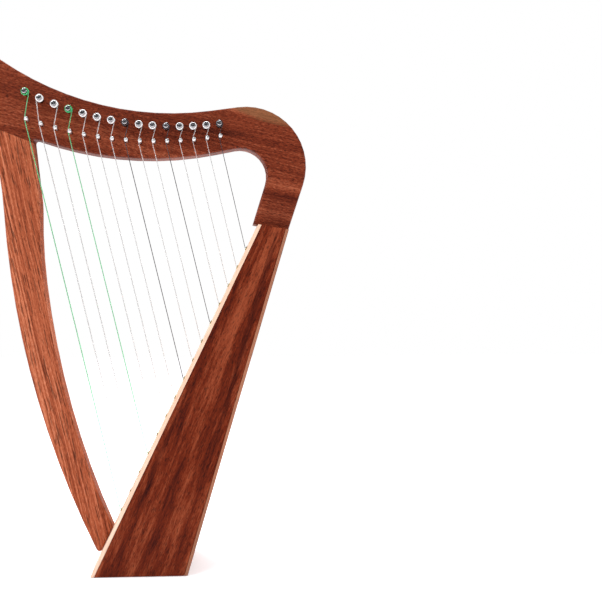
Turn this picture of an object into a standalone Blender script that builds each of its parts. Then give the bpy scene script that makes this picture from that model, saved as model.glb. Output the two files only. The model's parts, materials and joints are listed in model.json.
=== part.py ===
"""Lap harp with fifteen strings.

A tapered soundbox stands on its base and leans back. A curved neck rises from its top and meets
a bowed pillar in a half lap, and the pillar's foot is screwed to the soundboard. Each string runs
from a knot inside the box to a bridge pin and then to its tuning pin, which turns in the neck.
X runs from the pillar to the player, Y away from the side that carries the strings, and Z up.
The origin is the centre of the underside of the base.
"""

import math

import bmesh
import bpy
from mathutils import Matrix, Vector

# Clearance between pieces that touch
GAP = 0.0003

# Soundbox: outer sizes and the thickness of its panels
BASE_LENGTH = 0.0865
BASE_WIDTH = 0.120
TOP_LENGTH = 0.0283
TOP_WIDTH = 0.052
BOX_HEIGHT = 0.318
BOARD_LEAN = math.radians(25.5)
SEAM_FALL = math.radians(9.5)
BOARD_THICKNESS = 0.0028
SIDE_THICKNESS = 0.005
BACK_THICKNESS = 0.003
BASE_THICKNESS = 0.009

# Round holes in the back panel, largest and lowest first
HOLE_COUNT = 3
LOWEST_HOLE = 0.075
HOLE_SPACING = 0.075
LARGEST_HOLE = 0.040
HOLE_STEP = 0.006

# Pieces inside the soundbox
NECK_BLOCK_HEIGHT = 0.015
LINING_SIZE = 0.007
RIB_WIDTH = 0.016
RIB_THICKNESS = 0.005
RIB_FOOT_MARGIN = 0.0115
RIB_TOP_MARGIN = 0.0045
BRACE_WIDTH = 0.010
BRACE_DEPTH = 0.008
PILLAR_BLOCK_WIDTH = 0.040
PILLAR_BLOCK_THICKNESS = 0.015

# Screw of the pillar's foot
SCREW_DIAMETER = 0.004
SCREW_HEAD_DIAMETER = 0.008
SCREW_HEAD_HEIGHT = 0.003
SCREW_BITE = 0.014
SCREW_SLOT = 0.001

# Dowel between neck and soundbox
DOWEL_DIAMETER = 0.008
DOWEL_IN_NECK = 0.026
DOWEL_IN_BLOCK = 0.012

# Neck: its arcs' lowest points, given by their height and by how far they lie before the seam
FRAME_THICKNESS = 0.024
EDGE_ROUNDING = 0.002
FRONT_OVERHANG = 0.0043
REAR_OVERHANG = 0.0005
NECK_RISE = 0.0618
BRIDGE_MARGIN = 0.0153
PIN_RISE = 0.0137
TOP_MARGIN = 0.0140
UNDER_SETBACK = 0.1030
BRIDGE_SETBACK = 0.0981
TUNING_SETBACK = 0.0795
TOP_SETBACK = 0.0842
UNDER_RADIUS = 0.3125
BRIDGE_ARC_RADIUS = 0.3553
TUNING_ARC_RADIUS = 0.3182

# Shoulder, where the neck bends down to the soundbox
SHOULDER_RADIUS = 0.0561
SHOULDER_RISE = 0.0502
SHOULDER_REACH = 0.0169
INNER_SHOULDER_RADIUS = 0.02525
ARM_WIDTH = 0.0369
ARM_DEPTH = 0.0394

# Pillar: its bowed edges, placed from the first bridge pin at the top and from the board below
PILLAR_OUTER_RADIUS = 0.8473
PILLAR_OUTER_REACH = 0.02395
PILLAR_OUTER_RISE = 0.0084
PILLAR_FOOT_LOW = 0.0088
PILLAR_INNER_RADIUS = 0.8038
PILLAR_UPPER_RADIUS = 0.500
PILLAR_INNER_REACH = 0.01165
PILLAR_INNER_DROP = 0.0562
PILLAR_FOOT_HIGH = 0.0348
FOOT_TIP_RADIUS = 0.003

# Bend of the pillar's inner edge below the corner, and the corner's fillet
BEND_RADIUS = 0.060
BEND_DROP = 0.0468
CORNER_RADIUS = 0.0025
CORNER_REACH = 0.00745

# Crown, where neck and pillar end in a blunt tip, placed from the first bridge pin
CROWN_RADIUS = 0.350
CROWN_TIP_RADIUS = 0.010
CROWN_TIP_REACH = 0.0578
CROWN_TIP_RISE = 0.0688

# Half lap of neck and pillar: each seam's place below the corner's fillet, and its slope
STRING_SIDE_SEAM_DROP = 0.0012
STRING_SIDE_SEAM_FALL = math.radians(21)
BACK_SIDE_SEAM_DROP = 0.0362
BACK_SIDE_SEAM_FALL = math.radians(27.5)

# Cutters of the half lap: how far they run past the frame, and past the pillar's inner edge
LAP_CUTTER_MARGIN = 0.050
LAP_TOP_CLEARANCE = 0.015
LAP_FOOT_CLEARANCE = 0.045

# Strings: places along the board, and thickness from the longest to the shortest
STRING_COUNT = 15
FIRST_STRING = 0.05506
LAST_STRING_MARGIN = 0.0238
STRING_LEAN = math.radians(13.48)
STRING_FAN = math.radians(0.8)
STRING_STANDOFF = 0.0085
LONGEST_STRING_DIAMETER = 0.0010
SHORTEST_STRING_DIAMETER = 0.00065
STRING_HOLE_DIAMETER = 0.0032
STRING_EXIT = 0.0015
KNOT_DIAMETER = 0.0040
LEFT_WOUND_STRING = 2
GREEN_STRINGS = (1, 4)
BLACK_STRINGS = (8, 11, 15)

# Tuning pins
TUNING_PIN_DIAMETER = 0.005
TUNING_PIN_SHIFT = 0.0010
TUNING_PIN_FRONT = 0.016
TUNING_PIN_BACK = 0.011
SQUARE_LENGTH = 0.008
SQUARE_TAPER = 0.0003

# Bridge pins
BRIDGE_PIN_DIAMETER = 0.003
BRIDGE_PIN_HEAD = 0.004
BRIDGE_PIN_GROOVE = 0.0016
BRIDGE_PIN_FRONT = 0.012
BRIDGE_PIN_DEPTH = 0.018

# Facets of round pieces, and how far an arc's chord may lie from the arc
ARC_SAG = 0.00015
PIN_SIDES = 12
BRIDGE_PIN_SIDES = 10
BORE_SIDES = 16


# Plane geometry, in X and Z


def turn_to(lean):
    """Unit vector that leans right from upright by this angle."""
    return Vector((math.sin(lean), math.cos(lean)))


def meet(first, second):
    """Where two lines cross, each given as a point and a direction."""
    (start, way), (other_start, other_way) = first, second
    return start + way * ((other_start - start).cross(other_way) / way.cross(other_way))


def circles_cross(first, first_radius, second, second_radius, side):
    """Where two circles cross, left (side 1) or right (side -1) of the way between their centres."""
    way = (second - first).normalized()
    distance = (second - first).length
    along = (distance**2 + first_radius**2 - second_radius**2) / (2 * distance)
    across = math.sqrt(first_radius**2 - along**2)
    return first + way * along + Vector((-way.y, way.x)) * across * side


def enter(line, centre, radius):
    """Where a line first meets a circle."""
    start, way = line
    ahead = (centre - start).dot(way)
    aside = (centre - start).cross(way)
    return start + way * (ahead - math.sqrt(radius**2 - aside**2))


def tangent(first, first_radius, second, second_radius):
    """Both ends of the line that touches two circles.

    A circle with a positive radius lies left of the line, and one with a negative radius right.
    """
    between = second - first
    slant = (second_radius - first_radius) / between.length
    heading = math.atan2(between.y, between.x) - math.asin(max(-1.0, min(1.0, slant)))
    left = Vector((-math.sin(heading), math.cos(heading)))
    return first - left * first_radius, second - left * second_radius


def arc(centre, radius, start, end):
    """Points from start to end round a centre, anticlockwise for a positive radius."""
    first = math.atan2(start.y - centre.y, start.x - centre.x)
    last = math.atan2(end.y - centre.y, end.x - centre.x)
    sweep = (last - first) % math.tau if radius > 0 else -((first - last) % math.tau)
    if abs(sweep) > math.pi * 1.5:
        return [start]
    steps = max(1, math.ceil(abs(sweep) / (2 * math.acos(1 - ARC_SAG / abs(radius)))))
    angles = [first + sweep * step / steps for step in range(steps + 1)]
    return [centre + Vector((math.cos(angle), math.sin(angle))) * abs(radius) for angle in angles]


def rounded_outline(stations):
    """Closed outline that runs round each station, a centre and a radius, and straight between.

    A positive radius makes an outward arc, a negative one an inward arc, and zero a sharp corner.
    """
    legs = [
        tangent(*station, *following)
        for station, following in zip(stations, stations[1:] + stations[:1])
    ]
    outline = []
    for number, (centre, radius) in enumerate(stations):
        arrival = legs[number - 1][1]
        departure = legs[number][0]
        outline += arc(centre, radius, arrival, departure) if radius else [centre]
    return [
        point
        for number, point in enumerate(outline)
        if (point - outline[number - 1]).length > GAP / 2
    ]


# Lines that bound the soundbox, each at a depth below its outer face

board_up = turn_to(BOARD_LEAN)
board_in = turn_to(BOARD_LEAN + math.pi / 2)
board_foot = Vector((-BASE_LENGTH / 2, 0))
board_length = BOX_HEIGHT / board_up.y
seam_along = turn_to(SEAM_FALL + math.pi / 2)
seam_up = turn_to(SEAM_FALL)
seam_front = board_foot + board_up * board_length
seam_rear = seam_front + seam_along * (TOP_LENGTH / seam_along.x)
back_foot = Vector((BASE_LENGTH / 2, 0))
back_up = (seam_rear - back_foot).normalized()
back_in = Vector((-back_up.y, back_up.x))
back_lean = math.atan2(back_up.x, back_up.y)


def board_line(depth):
    return board_foot + board_in * depth, board_up


def back_line(depth):
    return back_foot + back_in * depth, back_up


def seam_line(depth):
    return seam_front - seam_up * depth, seam_along


def level_line(height):
    return Vector((0, height)), Vector((1, 0))


def plumb_line(across):
    return Vector((across, 0)), Vector((0, 1))


def board_cross(distance):
    """Line through the board, square to it, this far from its foot."""
    return board_foot + board_up * distance, board_in


def back_cross(height):
    """Line through the back panel, square to it, at a height on its outer face."""
    return back_foot + back_up * (height / back_up.y), back_in


side_slope = (BASE_WIDTH - TOP_WIDTH) / 2 / BOX_HEIGHT


def half_width(depth):
    """Function that gives half the soundbox's width at a height, a depth inside its side faces."""
    return lambda height: (
        BASE_WIDTH / 2 - side_slope * height - depth * math.sqrt(1 + side_slope**2)
    )


def level_at(value):
    return lambda height: value


def opposite(function):
    return lambda height: -function(height)


# Places of the strings and their pins


def string_foot(number):
    """Where a string leaves the board, for a number from 0 at the pillar."""
    last = board_length - LAST_STRING_MARGIN
    return board_foot + board_up * (
        FIRST_STRING + (last - FIRST_STRING) * number / (STRING_COUNT - 1)
    )


def string_radius(number):
    thinner = (LONGEST_STRING_DIAMETER - SHORTEST_STRING_DIAMETER) * number / (STRING_COUNT - 1)
    return (LONGEST_STRING_DIAMETER - thinner) / 2


def groove_reach(number):
    """From a bridge pin's axis to its string's centre line."""
    return BRIDGE_PIN_GROOVE / 2 + GAP + string_radius(number)


def neck_arc(setback, height, radius):
    """Centre of an arc of the neck, from its lowest point's place before and above the seam."""
    return seam_front + Vector((-setback, height + radius))


under_centre = neck_arc(UNDER_SETBACK, NECK_RISE, UNDER_RADIUS)
bridge_height = NECK_RISE + BRIDGE_MARGIN
bridge_centre = neck_arc(BRIDGE_SETBACK, bridge_height, BRIDGE_ARC_RADIUS)
tuning_height = bridge_height + PIN_RISE
tuning_centre = neck_arc(TUNING_SETBACK, tuning_height, TUNING_ARC_RADIUS)


def bridge_place(number):
    lean = STRING_LEAN + STRING_FAN * number / (STRING_COUNT - 1)
    start = string_foot(number) + turn_to(math.pi / 2 - lean) * groove_reach(number)
    return enter((start, turn_to(-lean)), bridge_centre, BRIDGE_ARC_RADIUS)


def tuning_place(number):
    across = bridge_place(number).x - TUNING_PIN_SHIFT
    return enter(plumb_line(across), tuning_centre, TUNING_ARC_RADIUS)


string_plane = -FRAME_THICKNESS / 2 - STRING_STANDOFF
first_pin = bridge_place(0)

# Arcs of the neck and the pillar, each a centre and a radius that is negative for an inward arc

neck_low = seam_front.y + NECK_RISE
front_corner = meet(seam_line(-GAP), plumb_line(seam_front.x - FRONT_OVERHANG))
rear_corner = meet(seam_line(-GAP), plumb_line(seam_rear.x + REAR_OVERHANG))

shoulder_side = rear_corner.x + SHOULDER_REACH
shoulder_top = neck_low + SHOULDER_RISE
shoulder_centre = Vector((shoulder_side - SHOULDER_RADIUS, shoulder_top - SHOULDER_RADIUS))
inner_shoulder_centre = Vector(
    (
        shoulder_side - ARM_WIDTH - INNER_SHOULDER_RADIUS,
        shoulder_top - ARM_DEPTH - INNER_SHOULDER_RADIUS,
    )
)

outer_foot = meet(board_line(-GAP), level_line(PILLAR_FOOT_LOW))
outer_top = Vector((first_pin.x - PILLAR_OUTER_REACH, neck_low + PILLAR_OUTER_RISE))
outer_centre = circles_cross(outer_foot, PILLAR_OUTER_RADIUS, outer_top, PILLAR_OUTER_RADIUS, -1)
inner_foot = meet(board_line(-GAP), level_line(PILLAR_FOOT_HIGH))
upper_centre = Vector(
    (first_pin.x + PILLAR_INNER_REACH + PILLAR_UPPER_RADIUS, neck_low - PILLAR_INNER_DROP)
)
inner_centre = circles_cross(
    inner_foot, PILLAR_INNER_RADIUS, upper_centre, PILLAR_INNER_RADIUS - PILLAR_UPPER_RADIUS, -1
)
foot_tip_centre = enter(
    board_line(-GAP - FOOT_TIP_RADIUS), outer_centre, PILLAR_OUTER_RADIUS - FOOT_TIP_RADIUS
)

bend_centre = enter(
    level_line(neck_low - BEND_DROP), upper_centre, PILLAR_UPPER_RADIUS + BEND_RADIUS
)
corner_centre = enter(
    plumb_line(first_pin.x + CORNER_REACH), under_centre, UNDER_RADIUS + CORNER_RADIUS
)

crown_tip_centre = first_pin + Vector((-CROWN_TIP_REACH, CROWN_TIP_RISE))
crown_centre = circles_cross(
    outer_centre, PILLAR_OUTER_RADIUS + CROWN_RADIUS, crown_tip_centre, CROWN_RADIUS + CROWN_TIP_RADIUS, 1
)

# The neck's top edge is the arc that is level at its lowest point and touches the crown's tip
top_low = seam_front + Vector((-TOP_SETBACK, tuning_height + TOP_MARGIN))
to_tip = crown_tip_centre - top_low
top_radius = (to_tip.length_squared - CROWN_TIP_RADIUS**2) / (2 * (to_tip.y + CROWN_TIP_RADIUS))
top_centre = top_low + Vector((0, top_radius))

frame_outline = rounded_outline(
    [
        (rear_corner, 0),
        (shoulder_centre, SHOULDER_RADIUS),
        (top_centre, -top_radius),
        (crown_tip_centre, CROWN_TIP_RADIUS),
        (crown_centre, -CROWN_RADIUS),
        (outer_centre, PILLAR_OUTER_RADIUS),
        (foot_tip_centre, FOOT_TIP_RADIUS),
        (inner_foot, 0),
        (inner_centre, -PILLAR_INNER_RADIUS),
        (upper_centre, -PILLAR_UPPER_RADIUS),
        (bend_centre, BEND_RADIUS),
        (corner_centre, -CORNER_RADIUS),
        (under_centre, UNDER_RADIUS),
        (inner_shoulder_centre, -INNER_SHOULDER_RADIUS),
        (front_corner, 0),
    ]
)

# The screw goes through the middle of the pillar's foot, and its head rests on the pillar block
screw_distance = ((foot_tip_centre + inner_foot) / 2 - board_foot).dot(board_up)
screw_seat = BOARD_THICKNESS + PILLAR_BLOCK_THICKNESS + GAP * 2


# Scene and objects


def clear_scene():
    for leftover in list(bpy.data.objects):
        bpy.data.objects.remove(leftover, do_unlink=True)


def material(name, colour, roughness, metallic=0.0):
    made = bpy.data.materials.new(name)
    made.use_nodes = True
    surface = made.node_tree.nodes["Principled BSDF"]
    surface.inputs["Base Color"].default_value = (*colour, 1.0)
    surface.inputs["Roughness"].default_value = roughness
    surface.inputs["Metallic"].default_value = metallic
    made.diffuse_color = (*colour, 1.0)
    return made


def add(name, data, finish, parent):
    """A visible piece of the harp."""
    piece = bpy.data.objects.new(name, data)
    bpy.context.scene.collection.objects.link(piece)
    piece.parent = parent
    if not data.materials:
        data.materials.append(finish)
    return piece


def add_cutter(name, data):
    cutter = bpy.data.objects.new(name, data)
    bpy.context.scene.collection.objects.link(cutter)
    cutter.hide_render = True
    cutter.display_type = "WIRE"
    return cutter


def cut(piece, cutter):
    boolean = piece.modifiers.new(cutter.name, "BOOLEAN")
    boolean.operation = "DIFFERENCE"
    boolean.object = cutter


def mesh_from(name, shape, smooth_below=math.radians(30)):
    bmesh.ops.recalc_face_normals(shape, faces=shape.faces)
    mesh = bpy.data.meshes.new(name)
    shape.to_mesh(mesh)
    shape.free()
    mesh.shade_smooth()
    mesh.set_sharp_from_angle(angle=smooth_below)
    return mesh


# Shapes


def extruded(profile, near, far):
    """Solid with this outline in X and Z, between two functions that give Y at a height."""
    shape = bmesh.new()
    front = [shape.verts.new((point.x, near(point.y), point.y)) for point in profile]
    rear = [shape.verts.new((point.x, far(point.y), point.y)) for point in profile]
    shape.faces.new(front)
    shape.faces.new(reversed(rear))
    for number in range(len(profile)):
        before = number - 1
        shape.faces.new((front[before], rear[before], rear[number], front[number]))
    return shape


def slab(name, profile, near, far):
    return mesh_from(name, extruded(profile, near, far))


def full_width_slab(name, profile, depth):
    """Slab across the soundbox, that ends a depth inside its side faces."""
    reach = half_width(depth)
    return slab(name, profile, opposite(reach), reach)


def squared(angle, radius):
    """Distance from the centre of a square, whose corners are at this radius, to its edge."""
    return radius * math.cos(math.pi / 4) / max(abs(math.cos(angle)), abs(math.sin(angle)))


def round_at(angle, radius):
    return radius


def turned(name, rings, sides=PIN_SIDES):
    """Solid round Z, from rings that each give a height, a radius and a section."""
    shape = bmesh.new()
    loops = []
    for height, radius, section in rings:
        loop = []
        for side in range(sides):
            angle = (side + 0.5) * math.tau / sides
            reach = section(angle, radius)
            point = (reach * math.cos(angle), reach * math.sin(angle), height)
            loop.append(shape.verts.new(point))
        loops.append(loop)
    for below, above in zip(loops, loops[1:]):
        for side in range(sides):
            shape.faces.new((below[side - 1], below[side], above[side], above[side - 1]))
    shape.faces.new(reversed(loops[0]))
    shape.faces.new(loops[-1])
    return mesh_from(name, shape)


def bores(name, bores_wanted, radius, length, sides=BORE_SIDES):
    """Cutter with one cylinder for each matrix, whose Z is the cylinder's axis."""
    shape = bmesh.new()
    for place in bores_wanted:
        bmesh.ops.create_cone(
            shape,
            cap_ends=True,
            segments=sides,
            radius1=radius,
            radius2=radius,
            depth=length,
            matrix=place,
        )
    return add_cutter(name, mesh_from(name, shape))


def bore_radius(diameter, sides=BORE_SIDES):
    """Corner radius of a faceted bore whose flats clear a shaft of this diameter."""
    return (diameter / 2 + GAP) / math.cos(math.pi / sides)


def facing(point, lean, height=0.0):
    """Matrix at a point in X and Z, with its Z leaning right from upright by this angle."""
    return Matrix.Translation((point.x, height, point.y)) @ Matrix.Rotation(lean, 4, "Y")


def across_neck(point):
    """Matrix at a point in X and Z, with its Z along Y."""
    return Matrix.Translation((point.x, 0, point.y)) @ Matrix.Rotation(-math.pi / 2, 4, "X")


# Soundbox


def build_soundboard(harp, spruce, string_bores, screw_bore):
    floor = level_line(0)
    profile = [
        meet(board_line(0), floor),
        meet(board_line(BOARD_THICKNESS), floor),
        meet(board_line(BOARD_THICKNESS), seam_line(0)),
        seam_front,
    ]
    board = add("soundboard", full_width_slab("soundboard", profile, 0), spruce, harp)
    cut(board, string_bores)
    cut(board, screw_bore)


def build_back(harp, plywood):
    floor = level_line(0)
    profile = [
        back_foot,
        seam_rear,
        meet(back_line(BACK_THICKNESS), seam_line(0)),
        meet(back_line(BACK_THICKNESS), floor),
    ]
    panel = add("back_panel", full_width_slab("back_panel", profile, 0), plywood, harp)
    for number in range(HOLE_COUNT):
        place, _ = back_cross(LOWEST_HOLE + HOLE_SPACING * number)
        radius = LARGEST_HOLE / 2 - HOLE_STEP / 2 * number
        matrix = facing(place, back_lean - math.pi / 2)
        name = f"sound_hole_cutter_{number + 1}"
        cut(panel, bores(name, [matrix], radius, BACK_THICKNESS * 4, BORE_SIDES * 2))


def build_sides(harp, rosewood):
    profile = [
        meet(board_line(BOARD_THICKNESS + GAP), level_line(0)),
        meet(back_line(BACK_THICKNESS + GAP), level_line(0)),
        meet(back_line(BACK_THICKNESS + GAP), seam_line(0)),
        meet(board_line(BOARD_THICKNESS + GAP), seam_line(0)),
    ]
    outer = half_width(0)
    inner = half_width(SIDE_THICKNESS)
    left = slab("left_side_panel", profile, opposite(outer), opposite(inner))
    add("left_side_panel", left, rosewood, harp)
    add("right_side_panel", slab("right_side_panel", profile, inner, outer), rosewood, harp)


def build_base(harp, rosewood):
    profile = [
        meet(board_line(BOARD_THICKNESS + GAP), level_line(0)),
        meet(back_line(BACK_THICKNESS + GAP), level_line(0)),
        meet(back_line(BACK_THICKNESS + GAP), level_line(BASE_THICKNESS)),
        meet(board_line(BOARD_THICKNESS + GAP), level_line(BASE_THICKNESS)),
    ]
    data = full_width_slab("base_panel", profile, SIDE_THICKNESS + GAP)
    add("base_panel", data, rosewood, harp)


def build_neck_block(harp, maple, dowel_bore):
    bottom = seam_line(NECK_BLOCK_HEIGHT)
    profile = [
        meet(board_line(BOARD_THICKNESS + GAP), bottom),
        meet(back_line(BACK_THICKNESS + GAP), bottom),
        meet(back_line(BACK_THICKNESS + GAP), seam_line(0)),
        meet(board_line(BOARD_THICKNESS + GAP), seam_line(0)),
    ]
    data = full_width_slab("neck_block", profile, SIDE_THICKNESS + GAP)
    cut(add("neck_block", data, maple, harp), dowel_bore)


def build_linings(harp, maple):
    near = board_line(BOARD_THICKNESS + GAP)
    far = board_line(BOARD_THICKNESS + GAP + LINING_SIZE)
    low = level_line(BASE_THICKNESS + GAP)
    high = seam_line(NECK_BLOCK_HEIGHT + GAP)
    profile = [meet(near, low), meet(far, low), meet(far, high), meet(near, high)]
    outer = half_width(SIDE_THICKNESS + GAP)
    inner = half_width(SIDE_THICKNESS + GAP + LINING_SIZE)
    add("lining_left", slab("lining_left", profile, opposite(outer), opposite(inner)), maple, harp)
    add("lining_right", slab("lining_right", profile, inner, outer), maple, harp)


def build_string_rib(harp, maple, string_bores):
    near = board_line(BOARD_THICKNESS + GAP)
    far = board_line(BOARD_THICKNESS + GAP + RIB_THICKNESS)
    low = board_cross(FIRST_STRING - RIB_FOOT_MARGIN)
    high = board_cross(board_length - LAST_STRING_MARGIN + RIB_TOP_MARGIN)
    profile = [meet(near, low), meet(far, low), meet(far, high), meet(near, high)]
    side = RIB_WIDTH / 2
    rib = add("string_rib", slab("string_rib", profile, level_at(-side), level_at(side)), maple, harp)
    cut(rib, string_bores)


def build_pillar_block(harp, maple, screw_bore):
    near = board_line(BOARD_THICKNESS + GAP)
    far = board_line(BOARD_THICKNESS + GAP + PILLAR_BLOCK_THICKNESS)
    low = level_line(BASE_THICKNESS + GAP)
    high = board_cross(FIRST_STRING - RIB_FOOT_MARGIN - GAP)
    profile = [meet(near, low), meet(far, low), meet(far, high), meet(near, high)]
    side = PILLAR_BLOCK_WIDTH / 2
    data = slab("pillar_block", profile, level_at(-side), level_at(side))
    cut(add("pillar_block", data, maple, harp), screw_bore)


def build_cross_brace(harp, maple):
    middle = LOWEST_HOLE + HOLE_SPACING / 2
    start, inward = back_cross(middle)
    low = (start - back_up * BRACE_WIDTH / 2, inward)
    high = (start + back_up * BRACE_WIDTH / 2, inward)
    near = back_line(BACK_THICKNESS + GAP)
    far = back_line(BACK_THICKNESS + GAP + BRACE_DEPTH)
    profile = [meet(near, low), meet(near, high), meet(far, high), meet(far, low)]
    data = full_width_slab("cross_brace", profile, SIDE_THICKNESS + GAP)
    add("cross_brace", data, maple, harp)


# Fastenings


def build_screw(harp, steel):
    shank = SCREW_DIAMETER / 2
    head = SCREW_HEAD_DIAMETER / 2
    rings = [
        (-SCREW_BITE, shank / 3, round_at),
        (shank - SCREW_BITE, shank, round_at),
        (screw_seat, shank, round_at),
        (screw_seat, head, round_at),
        (screw_seat + SCREW_HEAD_HEIGHT / 2, head, round_at),
        (screw_seat + SCREW_HEAD_HEIGHT, head / 2, round_at),
    ]
    place = board_foot + board_up * screw_distance
    screw = add("pillar_screw", turned("pillar_screw", rings), steel, harp)
    screw.matrix_local = facing(place, BOARD_LEAN + math.pi / 2)
    shape = bmesh.new()
    bmesh.ops.create_cube(shape, size=1)
    bmesh.ops.scale(shape, vec=(SCREW_SLOT, SCREW_HEAD_DIAMETER * 2, SCREW_SLOT * 2), verts=shape.verts)
    slot = add_cutter("screw_slot_cutter", mesh_from("screw_slot_cutter", shape))
    slot.matrix_local = screw.matrix_local @ Matrix.Translation((0, 0, screw_seat + SCREW_HEAD_HEIGHT))
    cut(screw, slot)


def build_dowel(harp, birch, place):
    radius = DOWEL_DIAMETER / 2
    chamfer = radius / 5
    rings = [
        (-DOWEL_IN_BLOCK, radius - chamfer, round_at),
        (chamfer - DOWEL_IN_BLOCK, radius, round_at),
        (DOWEL_IN_NECK - chamfer, radius, round_at),
        (DOWEL_IN_NECK, radius - chamfer, round_at),
    ]
    dowel = add("neck_dowel", turned("neck_dowel", rings), birch, harp)
    dowel.matrix_local = place


# Neck and pillar


def frame_blank(name):
    """Neck and pillar as one piece, its rims rounded but for the end on the soundbox."""
    side = FRAME_THICKNESS / 2
    shape = extruded(frame_outline, level_at(-side), level_at(side))
    bmesh.ops.recalc_face_normals(shape, faces=shape.faces)
    start, way = seam_line(-GAP)
    rims = []
    for edge in shape.edges:
        ends = [Vector((vert.co.x, vert.co.z)) for vert in edge.verts]
        on_face = abs(edge.verts[0].co.y - edge.verts[1].co.y) < side
        on_seam = all(abs((end - start).cross(way)) < GAP / 10 for end in ends)
        if on_face and not on_seam:
            rims.append(edge)
    bmesh.ops.bevel(
        shape,
        geom=rims,
        offset=EDGE_ROUNDING,
        offset_type="OFFSET",
        segments=2,
        profile=0.5,
        affect="EDGES",
        clamp_overlap=False,
    )
    return mesh_from(name, shape)


def lap_cutter(name, drop, fall, clearance, keep_pillar, near, far):
    """Cutter of one half of the lap joint, with the pillar's side of its seam or the other side."""
    start = corner_centre - Vector((CORNER_RADIUS, drop - clearance))
    seam = (start, turn_to(fall + math.pi / 2))
    outer = crown_tip_centre.x - LAP_CUTTER_MARGIN
    divide = first_pin.x + LAP_TOP_CLEARANCE
    beneath = -LAP_CUTTER_MARGIN
    above = crown_tip_centre.y + LAP_CUTTER_MARGIN
    seam_ends = [meet(seam, plumb_line(outer)), meet(seam, plumb_line(divide))]
    low_divide = Vector((inner_foot.x + LAP_FOOT_CLEARANCE, beneath))
    if keep_pillar:
        beyond = shoulder_side + LAP_CUTTER_MARGIN
        rest = [
            low_divide,
            Vector((beyond, beneath)),
            Vector((beyond, above)),
            Vector((outer, above)),
        ]
    else:
        rest = [low_divide, Vector((outer, beneath))]
    return add_cutter(name, slab(name, seam_ends + rest, level_at(near), level_at(far)))


def build_neck(harp, walnut, pin_bores, dowel_bore):
    neck = add("neck", frame_blank("neck"), walnut, harp)
    wide = FRAME_THICKNESS
    string_side = (STRING_SIDE_SEAM_DROP, STRING_SIDE_SEAM_FALL, GAP / 2, False, -wide, GAP / 2)
    back_side = (BACK_SIDE_SEAM_DROP, BACK_SIDE_SEAM_FALL, GAP / 2, False, -wide, wide)
    cut(neck, lap_cutter("neck_lap_cutter_string_side", *string_side))
    cut(neck, lap_cutter("neck_lap_cutter_back_side", *back_side))
    for cutter in pin_bores:
        cut(neck, cutter)
    cut(neck, dowel_bore)


def build_pillar(harp, walnut, screw_bore):
    pillar = add("pillar", frame_blank("pillar"), walnut, harp)
    wide = FRAME_THICKNESS
    string_side = (STRING_SIDE_SEAM_DROP, STRING_SIDE_SEAM_FALL, -GAP / 2, True, -wide, wide)
    back_side = (BACK_SIDE_SEAM_DROP, BACK_SIDE_SEAM_FALL, -GAP / 2, True, -GAP / 2, wide)
    cut(pillar, lap_cutter("pillar_lap_cutter_string_side", *string_side))
    cut(pillar, lap_cutter("pillar_lap_cutter_back_side", *back_side))
    cut(pillar, screw_bore)


# Strings and pins


def tuning_pin_mesh():
    front = -FRAME_THICKNESS / 2 - TUNING_PIN_FRONT
    end = FRAME_THICKNESS / 2 + TUNING_PIN_BACK
    radius = TUNING_PIN_DIAMETER / 2
    chamfer = radius / 5
    return turned(
        "tuning_pin",
        [
            (front, radius - chamfer, round_at),
            (front + chamfer, radius, round_at),
            (end - SQUARE_LENGTH - chamfer, radius, round_at),
            (end - SQUARE_LENGTH, radius, squared),
            (end - chamfer, radius - SQUARE_TAPER, squared),
            (end, radius - SQUARE_TAPER - chamfer, squared),
        ],
    )


def bridge_pin_mesh():
    front = -FRAME_THICKNESS / 2 - BRIDGE_PIN_FRONT
    end = BRIDGE_PIN_DEPTH - FRAME_THICKNESS / 2
    head = BRIDGE_PIN_HEAD / 2
    shank = BRIDGE_PIN_DIAMETER / 2
    groove = BRIDGE_PIN_GROOVE / 2
    half_groove = LONGEST_STRING_DIAMETER / 2 + GAP * 2
    return turned(
        "bridge_pin",
        [
            (front, head / 2, round_at),
            (front + head / 4, head * 0.85, round_at),
            (front + head / 2, head, round_at),
            (string_plane - half_groove - head / 5, head * 0.9, round_at),
            (string_plane - half_groove, groove, round_at),
            (string_plane + half_groove, groove, round_at),
            (string_plane + half_groove + (shank - groove), shank, round_at),
            (end - (shank - groove), shank, round_at),
            (end, groove, round_at),
        ],
        sides=BRIDGE_PIN_SIDES,
    )


def build_pins(harp, steel):
    tuning = tuning_pin_mesh()
    bridge = bridge_pin_mesh()
    for number in range(STRING_COUNT):
        tuner = add(f"tuning_pin_{number + 1:02d}", tuning, steel, harp)
        tuner.matrix_local = across_neck(tuning_place(number))
        post = add(f"bridge_pin_{number + 1:02d}", bridge, steel, harp)
        post.matrix_local = across_neck(bridge_place(number))


def string_route(number):
    """Points of a string's centre line, each with its radius as a share of the string's."""
    foot = string_foot(number)
    radius = string_radius(number)
    knot = KNOT_DIAMETER / 2
    knot_depth = BOARD_THICKNESS + RIB_THICKNESS + GAP * 2 + knot
    inside = [
        (knot_depth + knot, 1.0),
        (knot_depth + knot / 2, knot / radius),
        (knot_depth - knot / 2, knot / radius),
        (knot_depth - knot, 1.0),
        (-STRING_EXIT, 1.0),
    ]
    route = []
    for depth, share in inside:
        point = foot + board_in * depth
        route.append(((point.x, 0, point.y), share))
    leave = foot - board_in * STRING_EXIT
    bridge = bridge_place(number)
    groove = groove_reach(number)
    beside_pin = TUNING_PIN_DIAMETER / 2 + GAP + radius
    wound = -beside_pin if number + 1 == LEFT_WOUND_STRING else beside_pin
    _, arrival = tangent(leave, 0, bridge, -groove)
    departure, end = tangent(bridge, -groove, tuning_place(number), wound)
    middle = bridge + ((arrival + departure) / 2 - bridge).normalized() * groove
    for point in (arrival, middle, departure, end):
        route.append(((point.x, string_plane, point.y), 1.0))
    return route


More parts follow.
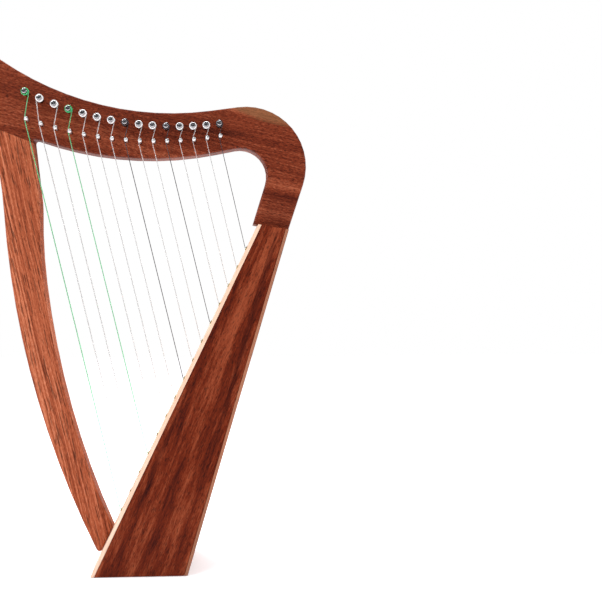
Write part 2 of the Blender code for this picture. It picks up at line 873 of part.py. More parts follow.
def build_strings(harp, nylons):
    for number in range(STRING_COUNT):
        colour = "clear"
        if number + 1 in GREEN_STRINGS:
            colour = "green"
        elif number + 1 in BLACK_STRINGS:
            colour = "black"
        name = f"string_{number + 1:02d}"
        curve = bpy.data.curves.new(name, "CURVE")
        curve.dimensions = "3D"
        curve.bevel_depth = string_radius(number)
        curve.bevel_resolution = 1
        curve.use_fill_caps = True
        route = string_route(number)
        spline = curve.splines.new("POLY")
        spline.points.add(len(route) - 1)
        for point, (place, share) in zip(spline.points, route):
            point.co = (*place, 1.0)
            point.radius = share
        add(name, curve, nylons[colour], harp)


def build_harp():
    clear_scene()
    walnut = material("red_walnut", (0.27, 0.09, 0.05), 0.35)
    rosewood = material("rosewood", (0.16, 0.045, 0.02), 0.35)
    spruce = material("spruce", (0.80, 0.62, 0.42), 0.40)
    plywood = material("plywood", (0.30, 0.15, 0.10), 0.45)
    maple = material("maple", (0.65, 0.50, 0.33), 0.60)
    birch = material("birch", (0.72, 0.58, 0.40), 0.60)
    steel = material("nickelled_steel", (0.75, 0.75, 0.76), 0.20, 1.0)
    nylons = {
        "clear": material("clear_nylon", (0.85, 0.85, 0.83), 0.30),
        "green": material("green_nylon", (0.10, 0.50, 0.32), 0.30),
        "black": material("black_nylon", (0.03, 0.03, 0.03), 0.30),
    }

    harp = bpy.data.objects.new("harp", None)
    bpy.context.scene.collection.objects.link(harp)

    numbers = range(STRING_COUNT)
    board_place = [facing(string_foot(number), BOARD_LEAN + math.pi / 2) for number in numbers]
    inner_depth = BOARD_THICKNESS + RIB_THICKNESS
    string_bores = bores(
        "string_hole_cutter", board_place, STRING_HOLE_DIAMETER / 2, inner_depth * 4, BORE_SIDES // 2
    )
    screw_place = facing(board_foot + board_up * screw_distance, BOARD_LEAN + math.pi / 2)
    pilot_depth = SCREW_BITE + GAP
    screw_middle = Matrix.Translation((0, 0, (screw_seat - pilot_depth) / 2))
    screw_bore = bores(
        "screw_hole_cutter",
        [screw_place @ screw_middle],
        bore_radius(SCREW_DIAMETER, PIN_SIDES),
        screw_seat + pilot_depth,
        PIN_SIDES,
    )
    pin_length = FRAME_THICKNESS * 2
    tuning_bores = bores(
        "tuning_pin_hole_cutter",
        [across_neck(tuning_place(number)) for number in numbers],
        bore_radius(TUNING_PIN_DIAMETER),
        pin_length,
    )
    bridge_bores = bores(
        "bridge_pin_hole_cutter",
        [across_neck(bridge_place(number)) for number in numbers],
        bore_radius(BRIDGE_PIN_DIAMETER, PIN_SIDES),
        pin_length,
        PIN_SIDES,
    )
    dowel_place = facing((seam_front + seam_rear) / 2, SEAM_FALL)
    dowel_middle = Matrix.Translation((0, 0, (DOWEL_IN_NECK - DOWEL_IN_BLOCK) / 2))
    dowel_bore = bores(
        "dowel_hole_cutter",
        [dowel_place @ dowel_middle],
        bore_radius(DOWEL_DIAMETER, PIN_SIDES),
        DOWEL_IN_NECK + DOWEL_IN_BLOCK + GAP * 2,
        PIN_SIDES,
    )

    build_soundboard(harp, spruce, string_bores, screw_bore)
    build_back(harp, plywood)
    build_sides(harp, rosewood)
    build_base(harp, rosewood)
    build_neck_block(harp, maple, dowel_bore)
    build_linings(harp, maple)
    build_string_rib(harp, maple, string_bores)
    build_pillar_block(harp, maple, screw_bore)
    build_cross_brace(harp, maple)
    build_screw(harp, steel)
    build_dowel(harp, birch, dowel_place)
    build_neck(harp, walnut, [tuning_bores, bridge_bores], dowel_bore)
    build_pillar(harp, walnut, screw_bore)
    build_pins(harp, steel)
    build_strings(harp, nylons)


build_harp()
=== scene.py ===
import json
import math

import bpy
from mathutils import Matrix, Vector


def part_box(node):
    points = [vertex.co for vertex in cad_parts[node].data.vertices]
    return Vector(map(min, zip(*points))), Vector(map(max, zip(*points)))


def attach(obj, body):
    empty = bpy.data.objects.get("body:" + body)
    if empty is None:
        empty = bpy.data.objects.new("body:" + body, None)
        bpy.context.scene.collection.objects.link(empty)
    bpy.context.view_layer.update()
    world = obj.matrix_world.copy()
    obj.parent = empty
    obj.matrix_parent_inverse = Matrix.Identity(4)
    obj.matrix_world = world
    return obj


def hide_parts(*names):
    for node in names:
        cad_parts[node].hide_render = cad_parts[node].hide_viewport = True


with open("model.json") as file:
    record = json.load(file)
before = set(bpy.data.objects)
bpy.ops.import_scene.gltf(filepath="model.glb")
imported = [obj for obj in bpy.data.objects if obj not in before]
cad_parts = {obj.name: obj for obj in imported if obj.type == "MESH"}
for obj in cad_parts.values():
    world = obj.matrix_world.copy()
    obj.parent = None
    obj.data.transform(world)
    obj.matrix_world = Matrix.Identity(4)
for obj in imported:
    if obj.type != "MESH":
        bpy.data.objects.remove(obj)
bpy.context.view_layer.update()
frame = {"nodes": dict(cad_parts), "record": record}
nodes = frame["nodes"]
harpBody = "harp_frame"
numbers = [name[-2:] for name in sorted(nodes) if name.startswith("tuning_pin_")]


# places read from the frame, in metres

def corners(node):
    return [vertex.co for vertex in nodes[node].data.vertices]


def middle(points):
    return sum(points, Vector()) / len(points)


def leanOf(lower, upper):
    # angle from upright to the right, in the plane of the harp
    return math.atan2(upper.x - lower.x, upper.z - lower.z)


boardFoot = min(corners("soundboard"), key=lambda point: (round(point.z, 4), point.x))
boardTop = max(corners("soundboard"), key=lambda point: point.z)
boardLean = leanOf(boardFoot, boardTop)
boardOut = Vector((-math.cos(boardLean), 0, math.sin(boardLean)))
rearPoints = corners("base_panel") + corners("back_panel")
backFoot = max(rearPoints, key=lambda point: (-round(point.z, 4), point.x))
backTop = max(corners("back_panel"), key=lambda point: point.x)
backLean = leanOf(backFoot, backTop)
boxLean = (boardLean + backLean) / 2
stringPlane = min(point.y for point in corners("string_01"))
print("frame loaded", len(nodes), "nodes")


# materials

def newMaterial(name):
    material = bpy.data.materials.new(name)
    material.use_nodes = True
    return material, material.node_tree.nodes, material.node_tree.links


def ramp(nodeList, stops, steps=False):
    node = nodeList.new("ShaderNodeValToRGB")
    node.color_ramp.interpolation = "CONSTANT" if steps else "LINEAR"
    elements = node.color_ramp.elements
    while len(elements) < len(stops):
        elements.new(0.5)
    for element, (place, colour) in zip(elements, stops):
        element.position = place
        element.color = (*colour, 1)
    return node


def noise(nodeList, links, vector, scale, detail=3, roughness=0.5):
    node = nodeList.new("ShaderNodeTexNoise")
    node.inputs["Scale"].default_value = scale
    node.inputs["Detail"].default_value = detail
    node.inputs["Roughness"].default_value = roughness
    links.new(vector, node.inputs["Vector"])
    return node.outputs["Fac"]


def reckon(nodeList, links, operation, first, second):
    node = nodeList.new("ShaderNodeMath")
    node.operation = operation
    for socket, value in zip(node.inputs, (first, second)):
        if isinstance(value, (int, float)):
            socket.default_value = value
        else:
            links.new(value, socket)
    return node.outputs["Value"]


def mapped(nodeList, links, vector, turn=0.0, scale=(1, 1, 1), shift=(0, 0, 0)):
    node = nodeList.new("ShaderNodeMapping")
    node.inputs["Location"].default_value = shift
    node.inputs["Rotation"].default_value = (0, turn, 0)
    node.inputs["Scale"].default_value = scale
    links.new(vector, node.inputs["Vector"])
    return node.outputs["Vector"]


def blended(nodeList, links, factor, first, second, kind="MIX"):
    node = nodeList.new("ShaderNodeMix")
    node.data_type = "RGBA"
    node.blend_type = kind
    for socket, value in zip((node.inputs[0], node.inputs[6], node.inputs[7]), (factor, first, second)):
        if isinstance(value, (int, float)):
            socket.default_value = value
        elif isinstance(value, tuple):
            socket.default_value = (*value, 1)
        else:
            links.new(value, socket)
    return node.outputs[2]


def streaks(nodeList, links, grain, stretch, scale, detail, roughness=0.5):
    # noise drawn out along the grain
    drawn = mapped(nodeList, links, grain, scale=(1, 1, stretch))
    return noise(nodeList, links, drawn, scale, detail, roughness)


grainLook = {
    "swayStretch": 0.35, "ribbonStretch": 0.018, "lineStretch": 0.010, "speckleStretch": 0.22,
    "speckleScale": 1400, "fineness": 0.6, "poreBlend": 0.06, "poreDeep": 0.00015,
    "roughUp": 0.10, "roughDown": 0.06, "patchCore": 0.5,
}


def lumber(name, look):
    # wood whose grain leans in the plane of the harp, from upright to the right
    material, nodeList, links = newMaterial(name)
    surface = nodeList["Principled BSDF"]
    place = nodeList.new("ShaderNodeTexCoord").outputs["Object"]
    grain = mapped(nodeList, links, place, turn=-look["lean"])
    sway = streaks(nodeList, links, grain, grainLook["swayStretch"], look["swayScale"], 2)
    swayNode = nodeList.new("ShaderNodeCombineXYZ")
    links.new(reckon(nodeList, links, "MULTIPLY", sway, look["sway"]), swayNode.inputs["X"])
    shifted = nodeList.new("ShaderNodeVectorMath")
    links.new(grain, shifted.inputs[0])
    links.new(swayNode.outputs["Vector"], shifted.inputs[1])
    along = shifted.outputs["Vector"]
    fineness = grainLook["fineness"]
    ribbons = streaks(nodeList, links, along, grainLook["ribbonStretch"], look["ribbonScale"], 2)
    lines = streaks(nodeList, links, along, grainLook["lineStretch"], look["lineScale"], 4, fineness)
    speckleScale = grainLook["speckleScale"]
    speckle = streaks(nodeList, links, along, grainLook["speckleStretch"], speckleScale, 2, fineness)
    share = reckon(nodeList, links, "MULTIPLY", ribbons, look["ribbonShare"])
    rest = 1 - look["ribbonShare"] - look["lineShare"]
    for layer, part in ((lines, look["lineShare"]), (speckle, rest)):
        share = reckon(nodeList, links, "ADD", share, reckon(nodeList, links, "MULTIPLY", layer, part))
    colours = ramp(nodeList, look["colours"])
    links.new(share, colours.inputs["Fac"])
    colour = colours.outputs["Color"]
    pores = streaks(nodeList, links, along, look["poreStretch"], look["poreScale"], 1)
    poreEnd = look["poreEdge"] + grainLook["poreBlend"]
    poreShade = ramp(nodeList, [(look["poreEdge"], (look["poreDepth"],) * 3), (poreEnd, (1, 1, 1))])
    links.new(pores, poreShade.inputs["Fac"])
    colour = blended(nodeList, links, 1, colour, poreShade.outputs["Color"], "MULTIPLY")
    for patch in look.get("patches", []):
        centre = Vector(patch["centre"])
        offset = mapped(nodeList, links, place, shift=-centre)
        upright = mapped(nodeList, links, offset, turn=-patch["lean"])
        local = mapped(nodeList, links, upright, scale=[1 / size for size in patch["sizes"]])
        length = nodeList.new("ShaderNodeVectorMath")
        length.operation = "LENGTH"
        links.new(local, length.inputs[0])
        fringe = reckon(nodeList, links, "SUBTRACT", lines, 0.5)
        ragged = reckon(nodeList, links, "ADD", length.outputs["Value"], fringe)
        mask = nodeList.new("ShaderNodeMapRange")
        mask.interpolation_type = "SMOOTHSTEP"
        mask.inputs["From Min"].default_value = 1
        mask.inputs["From Max"].default_value = grainLook["patchCore"]
        mask.inputs["To Max"].default_value = patch["strength"]
        links.new(ragged, mask.inputs["Value"])
        colour = blended(nodeList, links, mask.outputs["Result"], colour, patch["colour"], patch["kind"])
    links.new(colour, surface.inputs["Base Color"])
    bump = nodeList.new("ShaderNodeBump")
    bump.inputs["Strength"].default_value = look["bump"]
    bump.inputs["Distance"].default_value = grainLook["poreDeep"]
    links.new(poreShade.outputs["Color"], bump.inputs["Height"])
    links.new(bump.outputs["Normal"], surface.inputs["Normal"])
    gloss = nodeList.new("ShaderNodeMapRange")
    gloss.inputs["To Min"].default_value = look["roughness"] + grainLook["roughUp"]
    gloss.inputs["To Max"].default_value = look["roughness"] - grainLook["roughDown"]
    links.new(share, gloss.inputs["Value"])
    links.new(gloss.outputs["Result"], surface.inputs["Roughness"])
    surface.inputs["Specular IOR Level"].default_value = look["shine"]
    return material


def plied(name, look):
    # plywood: plies that change colour through the sheet, seen on its edges
    material = lumber(name, look)
    nodeList, links = material.node_tree.nodes, material.node_tree.links
    surface = nodeList["Principled BSDF"]
    place = nodeList.new("ShaderNodeTexCoord").outputs["Object"]
    across = mapped(nodeList, links, mapped(nodeList, links, place, shift=-backFoot), turn=-backLean)
    split = nodeList.new("ShaderNodeSeparateXYZ")
    links.new(across, split.inputs["Vector"])
    depth = reckon(nodeList, links, "DIVIDE", split.outputs["X"], -look["thickness"])
    plies = ramp(nodeList, look["plies"], steps=True)
    links.new(depth, plies.inputs["Fac"])
    veneer = surface.inputs["Base Color"].links[0].from_socket
    core = reckon(nodeList, links, "MULTIPLY", plies.outputs["Color"], look["coreShare"])
    links.new(blended(nodeList, links, core, veneer, look["core"]), surface.inputs["Base Color"])
    return material


metalLook = {
    "tintStops": (0.3, 0.7), "roughSpan": 0.14, "bump": 0.15, "bumpDeep": 0.00003,
    "brushStretch": 0.1, "brushRatio": 6,
}


def metal(name, look):
    material, nodeList, links = newMaterial(name)
    surface = nodeList["Principled BSDF"]
    surface.inputs["Metallic"].default_value = 1
    place = nodeList.new("ShaderNodeTexCoord").outputs["Object"]
    haze = noise(nodeList, links, place, look["hazeScale"])
    tint = ramp(nodeList, list(zip(metalLook["tintStops"], (look["dark"], look["light"]))))
    links.new(haze, tint.inputs["Fac"])
    links.new(tint.outputs["Color"], surface.inputs["Base Color"])
    rough = nodeList.new("ShaderNodeMapRange")
    rough.inputs["To Min"].default_value = look["roughness"]
    rough.inputs["To Max"].default_value = look["roughness"] + metalLook["roughSpan"]
    links.new(haze, rough.inputs["Value"])
    links.new(rough.outputs["Result"], surface.inputs["Roughness"])
    bump = nodeList.new("ShaderNodeBump")
    bump.inputs["Strength"].default_value = metalLook["bump"]
    bump.inputs["Distance"].default_value = metalLook["bumpDeep"]
    brushed = mapped(nodeList, links, place, scale=(1, metalLook["brushStretch"], 1))
    fine = noise(nodeList, links, brushed, look["hazeScale"] * metalLook["brushRatio"])
    links.new(fine, bump.inputs["Height"])
    links.new(bump.outputs["Normal"], surface.inputs["Normal"])
    return material


nylonLook = {"tintStops": (0.3, 0.7), "tintScale": 900, "roughScale": 2500, "roughSpan": 0.1}


def nylon(name, look):
    material, nodeList, links = newMaterial(name)
    surface = nodeList["Principled BSDF"]
    place = nodeList.new("ShaderNodeTexCoord").outputs["Object"]
    tint = ramp(nodeList, list(zip(nylonLook["tintStops"], (look["dark"], look["light"]))))
    links.new(noise(nodeList, links, place, nylonLook["tintScale"]), tint.inputs["Fac"])
    links.new(tint.outputs["Color"], surface.inputs["Base Color"])
    rough = nodeList.new("ShaderNodeMapRange")
    rough.inputs["To Min"].default_value = look["roughness"]
    rough.inputs["To Max"].default_value = look["roughness"] + nylonLook["roughSpan"]
    links.new(noise(nodeList, links, place, nylonLook["roughScale"]), rough.inputs["Value"])
    links.new(rough.outputs["Result"], surface.inputs["Roughness"])
    surface.inputs["Transmission Weight"].default_value = look["clearness"]
    surface.inputs["Subsurface Weight"].default_value = 1
    surface.inputs["Subsurface Radius"].default_value = (1, 1, 1)
    surface.inputs["Subsurface Scale"].default_value = look["depth"]
    surface.inputs["IOR"].default_value = look["ior"]
    return material


woodLooks = {
    "neck": {
        "lean": math.radians(103), "swayScale": 14, "sway": 0.012,
        "ribbonScale": 60, "ribbonShare": 0.34, "lineScale": 520, "lineShare": 0.30,
        "colours": [
            (0.38, (0.062, 0.0055, 0.0009)),
            (0.5, (0.165, 0.026, 0.008)),
            (0.62, (0.33, 0.085, 0.038)),
        ],
        "poreScale": 1500, "poreStretch": 0.16, "poreEdge": 0.36, "poreDepth": 0.45,
        "bump": 0.3, "roughness": 0.42, "shine": 0.10,
        "patches": [
            {"centre": (0.112, -0.012, 0.4235), "lean": math.radians(106), "sizes": (0.0075, 0.1, 0.046),
             "strength": 0.55, "colour": (0.165, 0.085, 0.035), "kind": "MIX"},
            {"centre": (0.060, -0.012, 0.4065), "lean": math.radians(94), "sizes": (0.0035, 0.1, 0.060),
             "strength": 0.5, "colour": (0.35, 0.25, 0.22), "kind": "MULTIPLY"},
            {"centre": (0.135, -0.012, 0.330), "lean": math.radians(100), "sizes": (0.022, 0.1, 0.030),
             "strength": 0.4, "colour": (0.55, 0.45, 0.42), "kind": "MULTIPLY"},
        ],
    },
    "pillar": {
        "lean": math.radians(-13), "swayScale": 9, "sway": 0.010,
        "ribbonScale": 75, "ribbonShare": 0.26, "lineScale": 620, "lineShare": 0.50,
        "colours": [
            (0.38, (0.16, 0.026, 0.008)),
            (0.5, (0.345, 0.082, 0.033)),
            (0.62, (0.58, 0.20, 0.105)),
        ],
        "poreScale": 950, "poreStretch": 0.07, "poreEdge": 0.37, "poreDepth": 0.42,
        "bump": 0.35, "roughness": 0.44, "shine": 0.10,
    },
    "side": {
        "lean": boxLean, "swayScale": 6, "sway": 0.006,
        "ribbonScale": 95, "ribbonShare": 0.50, "lineScale": 480, "lineShare": 0.32,
        "colours": [
            (0.38, (0.045, 0.003, 0.0004)),
            (0.5, (0.123, 0.0135, 0.0020)),
            (0.62, (0.25, 0.050, 0.018)),
        ],
        "poreScale": 1500, "poreStretch": 0.10, "poreEdge": 0.36, "poreDepth": 0.5,
        "bump": 0.3, "roughness": 0.40, "shine": 0.10,
        "patches": [
            {"centre": (0.0985, -0.03, 0.22), "lean": backLean, "sizes": (0.0036, 0.1, 0.15),
             "strength": 0.6, "colour": (0.30, 0.16, 0.12), "kind": "MULTIPLY"},
            {"centre": (0.022, -0.04, 0.115), "lean": math.radians(23), "sizes": (0.0028, 0.1, 0.085),
             "strength": 0.45, "colour": (0.35, 0.2, 0.16), "kind": "MULTIPLY"},
        ],
    },
    "board": {
        "lean": boardLean, "swayScale": 8, "sway": 0.001,
        "ribbonScale": 120, "ribbonShare": 0.3, "lineScale": 900, "lineShare": 0.6,
        "colours": [
            (0.3, (0.62, 0.38, 0.26)),
            (0.5, (0.76, 0.51, 0.38)),
            (0.7, (0.86, 0.64, 0.50)),
        ],
        "poreScale": 1800, "poreStretch": 0.05, "poreEdge": 0.30, "poreDepth": 0.85,
        "bump": 0.1, "roughness": 0.45, "shine": 0.10,
    },
    "back": {
        "lean": backLean, "swayScale": 10, "sway": 0.008,
        "ribbonScale": 80, "ribbonShare": 0.4, "lineScale": 500, "lineShare": 0.4,
        "colours": [
            (0.32, (0.12, 0.022, 0.008)),
            (0.5, (0.25, 0.062, 0.028)),
            (0.68, (0.42, 0.14, 0.075)),
        ],
        "poreScale": 1400, "poreStretch": 0.08, "poreEdge": 0.36, "poreDepth": 0.5,
        "bump": 0.25, "roughness": 0.42, "shine": 0.10,
        "thickness": 0.003, "coreShare": 0.75, "core": (0.36, 0.18, 0.11),
        "plies": [
            (0.0, (0, 0, 0)),
            (0.2, (1, 1, 1)),
            (0.45, (0.35, 0.35, 0.35)),
            (0.62, (1, 1, 1)),
            (0.85, (0, 0, 0)),
        ],
    },
    "inside": {
        "lean": boardLean, "swayScale": 10, "sway": 0.004,
        "ribbonScale": 90, "ribbonShare": 0.4, "lineScale": 600, "lineShare": 0.4,
        "colours": [
            (0.3, (0.45, 0.31, 0.18)),
            (0.5, (0.60, 0.44, 0.28)),
            (0.7, (0.70, 0.55, 0.38)),
        ],
        "poreScale": 1600, "poreStretch": 0.1, "poreEdge": 0.32, "poreDepth": 0.75,
        "bump": 0.25, "roughness": 0.6, "shine": 0.3,
    },
}
woods = {
    name: plied(name + "Wood", look) if "plies" in look else lumber(name + "Wood", look)
    for name, look in woodLooks.items()
}
# base colour darkened below bare nickel: painted dark reflection on the tuning pin ends and the pillar
# screw
nickel = metal("nickel", {
    "hazeScale": 700, "dark": (0.36, 0.36, 0.38), "light": (0.58, 0.58, 0.60), "roughness": 0.06})
# satin roughness is the pins' real finish; the raised base colour is a painted highlight that keeps the
# bridge pin heads bright
satinNickelPaintedBright = metal("satinNickelPaintedBright", {
    "hazeScale": 700, "dark": (0.70, 0.70, 0.71), "light": (0.92, 0.92, 0.93), "roughness": 0.34})
brass = metal("agedBrass", {
    "hazeScale": 900, "dark": (0.20, 0.15, 0.05), "light": (0.50, 0.38, 0.14), "roughness": 0.25})
nylons = {
    "clear": nylon("clearNylon", {
        "dark": (0.93, 0.90, 0.89), "light": (0.99, 0.97, 0.96), "roughness": 0.1, "clearness": 0.7,
        "ior": 1.08, "depth": 0.0008}),
    "wound": nylon("woundNylon", {
        "dark": (0.90, 0.89, 0.90), "light": (0.98, 0.98, 0.99), "roughness": 0.3, "clearness": 0.05,
        "ior": 1.45, "depth": 0.0006}),
    "green": nylon("greenNylon", {
        "dark": (0.26, 0.80, 0.42), "light": (0.38, 0.92, 0.55), "roughness": 0.15, "clearness": 0.7,
        "ior": 1.08, "depth": 0.0008}),
    "woundGreen": nylon("woundGreenNylon", {
        "dark": (0.03, 0.36, 0.13), "light": (0.08, 0.55, 0.22), "roughness": 0.2, "clearness": 0.1,
        "ior": 1.45, "depth": 0.0003}),
    "black": nylon("blackNylon", {
        "dark": (0.022, 0.018, 0.022), "light": (0.06, 0.05, 0.056), "roughness": 0.25, "clearness": 0.0,
        "ior": 1.45, "depth": 0.0001}),
}
stringColours = {"01": "green", "04": "green", "08": "black", "11": "black", "15": "black"}
woundColours = {"clear": "wound", "green": "woundGreen", "black": "black"}


def dress(node, material):
    slots = nodes[node].data.materials
    slots.clear()
    slots.append(material)


nodeWoods = {
    "neck": ["neck"],
    "pillar": ["pillar"],
    "side": ["left_side_panel", "right_side_panel", "base_panel"],
    "board": ["soundboard"],
    "back": ["back_panel"],
    "inside": [
        "neck_block", "string_rib", "pillar_block", "cross_brace", "lining_left", "lining_right",
        "neck_dowel",
    ],
}
for wood, parts in nodeWoods.items():
    for part in parts:
        dress(part, woods[wood])
dress("pillar_screw", nickel)
for number in numbers:
    dress(f"string_{number}", nylons[stringColours.get(number, "clear")])
print("materials done")


# turned pieces

smoothAngle = math.radians(35)

def turned(name, profile, sides):
    # piece round Z, from a radius and a height for each ring, with both ends filled
    bpy.ops.object.select_all(action="DESELECT")
    radius, height = profile[0]
    bpy.ops.mesh.primitive_circle_add(vertices=sides, radius=radius, fill_type="NGON", location=(0, 0, 0))
    piece = bpy.context.object
    piece.name = name
    bpy.ops.object.mode_set(mode="EDIT")
    bpy.ops.mesh.select_all(action="SELECT")
    bpy.ops.transform.translate(value=(0, 0, height))
    for nextRadius, nextHeight in profile[1:]:
        bpy.ops.mesh.extrude_region_move(TRANSFORM_OT_translate={"value": (0, 0, nextHeight - height)})
        ratio = nextRadius / radius
        bpy.ops.transform.resize(value=(ratio, ratio, 1))
        radius, height = nextRadius, nextHeight
    bpy.ops.mesh.select_all(action="SELECT")
    bpy.ops.mesh.normals_make_consistent(inside=False)
    bpy.ops.object.mode_set(mode="OBJECT")
    bpy.ops.object.shade_smooth_by_angle(angle=smoothAngle)
    return piece


def placeCopy(master, name, place, turn, body, material):
    # own copy of a master piece, turned by Euler angles, moved, and applied
    piece = master.copy()
    piece.data = master.data.copy()
    piece.name = name
    bpy.context.scene.collection.objects.link(piece)
    piece.rotation_euler = turn
    piece.location = place
    bpy.ops.object.select_all(action="DESELECT")
    piece.select_set(True)
    bpy.context.view_layer.objects.active = piece
    bpy.ops.object.transform_apply(location=True, rotation=True, scale=True)
    piece.data.materials.clear()
    piece.data.materials.append(material)
    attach(piece, body)
    return piece


def remove(master):
    bpy.data.objects.remove(master, do_unlink=True)


toFront = (math.pi / 2, 0, 0)
pinPlaces = {}
for joint in frame["record"]["behaviour"]["joints"]:
    pinPlaces[joint["child"][11:13]] = Vector(joint["pos_m"])


# tuning pins

tuner = {
    "radius": 0.0025, "front": 0.028, "squareStart": -0.015, "rear": -0.023, "squareSide": 0.0034,
    "squareTaper": 0.88, "squareBevel": 0.0002, "sides": 32,
}


def tuningPinMaster():
    radius, front = tuner["radius"], tuner["front"]
    profile = [
        (radius * 0.60, tuner["squareStart"] - 0.0002),
        (radius * 0.92, tuner["squareStart"]),
        (radius, tuner["squareStart"] + 0.0004),
        (radius, front - 0.0010),
        (radius * 0.97, front - 0.0005),
        (radius * 0.88, front - 0.00015),
        (radius * 0.78, front),
        (radius * 0.52, front),
        (radius * 0.46, front - 0.0002),
        (radius * 0.40, front - 0.0016),
    ]
    shaft = turned("tuningPinShaft", profile, tuner["sides"])
    bpy.ops.object.select_all(action="DESELECT")
    middleHeight = (tuner["squareStart"] + tuner["rear"]) / 2
    bpy.ops.mesh.primitive_cube_add(size=1, location=(0, 0, middleHeight))
    square = bpy.context.object
    square.scale = (tuner["squareSide"], tuner["squareSide"], tuner["squareStart"] - tuner["rear"])
    bpy.ops.object.transform_apply(location=True, rotation=True, scale=True)
    bpy.ops.object.mode_set(mode="EDIT")
    bpy.ops.mesh.select_all(action="SELECT")
    bpy.ops.mesh.bevel(offset=tuner["squareBevel"], segments=2)
    bpy.ops.mesh.select_all(action="DESELECT")
    bpy.ops.object.mode_set(mode="OBJECT")
    for vertex in square.data.vertices:
        vertex.select = vertex.co.z < middleHeight
    bpy.ops.object.mode_set(mode="EDIT")
    bpy.ops.transform.resize(value=(tuner["squareTaper"], tuner["squareTaper"], 1))
    bpy.ops.object.mode_set(mode="OBJECT")
    bpy.ops.object.shade_smooth_by_angle(angle=smoothAngle)
    shaft.select_set(True)
    bpy.context.view_layer.objects.active = shaft
    bpy.ops.object.join()
    return shaft


master = tuningPinMaster()
for number in numbers:
    piece = placeCopy(master, f"tuningPin{number}", pinPlaces[number], toFront,
                      f"tuning_pin_{number}_body", nickel)
    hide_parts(f"tuning_pin_{number}")
remove(master)
print("tuning pins done")


# bridge pins

bridge = {
    "head": 0.0020, "shank": 0.0015, "groove": 0.0008, "front": 0.0240, "rear": -0.0060, "sides": 28,
    "grooveBack": 0.0045, "grooveFront": 0.0026,
}


def bridgePinMaster():
    head, shank, groove = bridge["head"], bridge["shank"], bridge["groove"]
    front = bridge["front"]
    grooveLow, grooveHigh = front - bridge["grooveBack"], front - bridge["grooveFront"]
    profile = [
        (groove, bridge["rear"]),
        (shank * 0.9, bridge["rear"] + 0.0003),
        (shank, bridge["rear"] + 0.0007),
        (shank, grooveLow - 0.0005),
        (shank * 0.8, grooveLow - 0.0002),
        (groove, grooveLow),
        (groove, grooveHigh),
        (head * 0.80, grooveHigh + 0.0003),
        (head * 0.96, grooveHigh + 0.0007),
        (head, front - 0.0014),
        (head * 0.95, front - 0.0009),
        (head * 0.78, front - 0.0004),
        (head * 0.50, front - 0.0001),
        (head * 0.20, front),
    ]
    return turned("bridgePinMaster", profile, bridge["sides"])


master = bridgePinMaster()
for number in numbers:
    low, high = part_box(f"bridge_pin_{number}")
    centre = (Vector(low) + Vector(high)) / 2
    piece = placeCopy(master, f"bridgePin{number}", (centre.x, 0, centre.z), toFront,
                      harpBody, satinNickelPaintedBright)
    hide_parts(f"bridge_pin_{number}")
remove(master)
print("bridge pins done")


# windings of string on the tuning pins

winding = {
    "turns": 4.25, "slack": 1.04, "stepsPerTurn": 20, "endDepth": 0.0005, "endShare": 0.6,
    "seat": 1.02, "settleTurns": 0.25, "roundness": 3,
}


def addWinding(number):
    points = corners(f"string_{number}")
    top = max(point.z for point in points)
    radius = (max(point.y for point in points if point.z > top - winding["endDepth"]) - stringPlane) / 2
    end = middle([point for point in points if point.z > top - radius * winding["endShare"]])
    pin = pinPlaces[number]
    startAngle = math.atan2(end.z - pin.z, end.x - pin.x)
    way = 1 if end.x > pin.x else -1
    startReach = math.hypot(end.x - pin.x, end.z - pin.z)
    reach = tuner["radius"] + radius * winding["seat"]
    curve = bpy.data.curves.new(f"winding{number}", "CURVE")
    curve.dimensions = "3D"
    curve.bevel_depth = radius
    curve.bevel_resolution = winding["roundness"]
    curve.use_fill_caps = True
    steps = round(winding["turns"] * winding["stepsPerTurn"])
    spline = curve.splines.new("POLY")
    spline.points.add(steps)
    for step, point in enumerate(spline.points):
        turn = step / winding["stepsPerTurn"]
        angle = startAngle + way * turn * math.tau
        settled = min(1, turn / winding["settleTurns"])
        distance = startReach + (reach - startReach) * settled
        depth = end.y - turn * radius * 2 * winding["slack"]
        point.co = (pin.x + distance * math.cos(angle), depth, pin.z + distance * math.sin(angle), 1)
    piece = bpy.data.objects.new(f"winding{number}", curve)
    bpy.context.scene.collection.objects.link(piece)
    colour = stringColours.get(number, "clear")
    curve.materials.append(nylons[woundColours[colour]])
    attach(piece, f"tuning_pin_{number}_body")


for number in numbers:
    addWinding(number)
print("windings done")


# eyelets of the strings in the soundboard

eyelet = {
    "bore": 0.0009, "barrel": 0.0014, "flange": 0.0022, "height": 0.0009, "depth": 0.0026, "sides": 24,
    "proud": 0.00002, "exitLow": 0.0009, "exitHigh": 0.0025,
}


def eyeletMaster():
    bore, flange, height = eyelet["bore"], eyelet["flange"], eyelet["height"]
    profile = [
        (bore, -eyelet["depth"]),
        (eyelet["barrel"], -eyelet["depth"]),
        (eyelet["barrel"], eyelet["proud"]),
        (flange, eyelet["proud"]),
        (flange, height * 0.35),
        (flange * 0.90, height * 0.75),
        (flange * 0.72, height),
        (bore * 1.35, height * 0.95),
        (bore, height * 0.55),
        (bore, -eyelet["depth"] * 0.9),
    ]
    return turned("eyeletMaster", profile, eyelet["sides"])


def eyeletPlace(number):
    # where the string leaves the board, on the board's outer face
    exits = []
    for point in corners(f"string_{number}"):
        height = (point - boardFoot).dot(boardOut)
        if eyelet["exitLow"] < height < eyelet["exitHigh"]:
            exits.append(point - boardOut * height)
    place = middle(exits)
    return place.x, 0, place.z


master = eyeletMaster()
toBoardOut = (0, boardLean - math.pi / 2, 0)
for number in numbers:
    placeCopy(master, f"eyelet{number}", eyeletPlace(number), toBoardOut, harpBody, brass)
remove(master)
print("eyelets done")


# stage

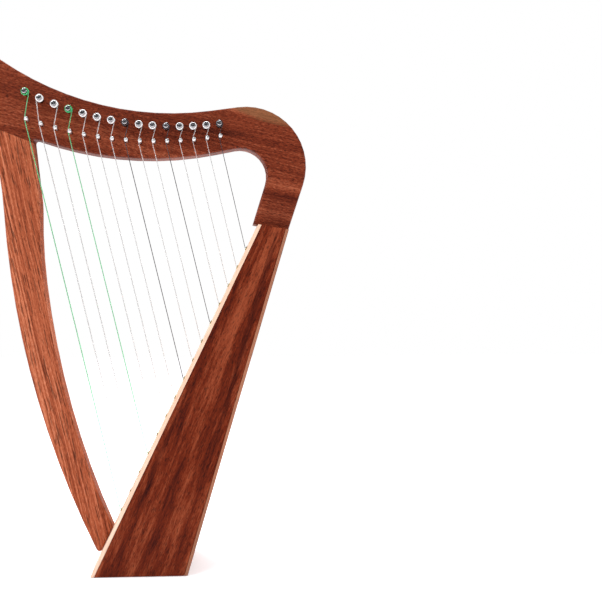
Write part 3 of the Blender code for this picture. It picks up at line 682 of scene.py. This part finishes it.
stageLook = {
    "floor": (0.86, 0.85, 0.87), "floorGlow": 0.30, "floorSize": 8, "floorDrop": 0.0005,
    "floorRoughness": 0.95, "floorShine": 0.1, "diffuse": 0.95, "glossy": 0.12, "aim": (0, 0, 0.25),
}
lamps = {
    "keyLamp": {"place": (-1.0, -1.5, 1.6), "size": 0.9, "power": 17},
    "fillLamp": {"place": (1.4, -1.3, 0.8), "size": 1.2, "power": 4},
    "rimLamp": {"place": (0.1, 0.5, 1.9), "size": 1.2, "power": 30},
    "leftBackLamp": {"place": (-1.3, 0.7, 0.5), "size": 0.9, "power": 10},
    "rightBackLamp": {"place": (1.5, 0.7, 0.5), "size": 0.9, "power": 10},
}


def makeFloor():
    bpy.ops.object.select_all(action="DESELECT")
    low = (0, 0, -stageLook["floorDrop"])
    bpy.ops.mesh.primitive_plane_add(size=stageLook["floorSize"], location=low)
    floor = bpy.context.object
    floor.name = "studioFloor"
    material, nodeList, links = newMaterial("studioFloorPaint")
    surface = nodeList["Principled BSDF"]
    surface.inputs["Base Color"].default_value = (*stageLook["floor"], 1)
    surface.inputs["Roughness"].default_value = stageLook["floorRoughness"]
    surface.inputs["Specular IOR Level"].default_value = stageLook["floorShine"]
    surface.inputs["Emission Color"].default_value = (1, 1, 1, 1)
    seen = nodeList.new("ShaderNodeLightPath").outputs["Is Camera Ray"]
    glow = reckon(nodeList, links, "MULTIPLY", seen, stageLook["floorGlow"])
    links.new(glow, surface.inputs["Emission Strength"])
    floor.data.materials.append(material)


def makeWorld():
    # white to the camera and through clear string, dimmer in mirrors
    world = bpy.data.worlds.new("studio")
    bpy.context.scene.world = world
    world.use_nodes = True
    nodeList, links = world.node_tree.nodes, world.node_tree.links
    backdrop = nodeList["Background"]
    backdrop.inputs["Color"].default_value = (1, 1, 1, 1)
    path = nodeList.new("ShaderNodeLightPath")
    direct, through = path.outputs["Is Camera Ray"], path.outputs["Is Transmission Ray"]
    seen = reckon(nodeList, links, "MAXIMUM", direct, through)
    whiter = reckon(nodeList, links, "MULTIPLY", seen, 1 - stageLook["diffuse"])
    drop = stageLook["glossy"] - stageLook["diffuse"]
    dimmer = reckon(nodeList, links, "MULTIPLY", path.outputs["Is Glossy Ray"], drop)
    change = reckon(nodeList, links, "ADD", whiter, dimmer)
    strength = reckon(nodeList, links, "ADD", change, stageLook["diffuse"])
    links.new(strength, backdrop.inputs["Strength"])


def addLamp(name, place, size, power):
    light = bpy.data.lights.new(name, "AREA")
    light.shape = "DISK"
    light.size = size
    light.energy = power
    lamp = bpy.data.objects.new(name, light)
    bpy.context.scene.collection.objects.link(lamp)
    lamp.location = place
    aim = Vector(stageLook["aim"]) - Vector(place)
    lamp.rotation_euler = aim.to_track_quat("-Z", "Y").to_euler()


makeFloor()
makeWorld()
for name, look in lamps.items():
    addLamp(name, look["place"], look["size"], look["power"])

cameraSet = {
    "place": (0.05875, -1.100, 0.2465), "yaw": 4.755, "sensor": 36, "focalPixels": 1154,
    "widthPixels": 602, "clipStart": 0.05,
}
camera = bpy.data.cameras.new("camera")
camera.sensor_width = cameraSet["sensor"]
camera.lens = cameraSet["sensor"] * cameraSet["focalPixels"] / cameraSet["widthPixels"]
camera.clip_start = cameraSet["clipStart"]
cameraObject = bpy.data.objects.new("camera", camera)
bpy.context.scene.collection.objects.link(cameraObject)
cameraObject.location = cameraSet["place"]
cameraObject.rotation_euler = (math.pi / 2, 0, -math.radians(cameraSet["yaw"]))
bpy.context.scene.camera = cameraObject
bpy.context.scene.view_settings.view_transform = "Standard"
print("stage done")
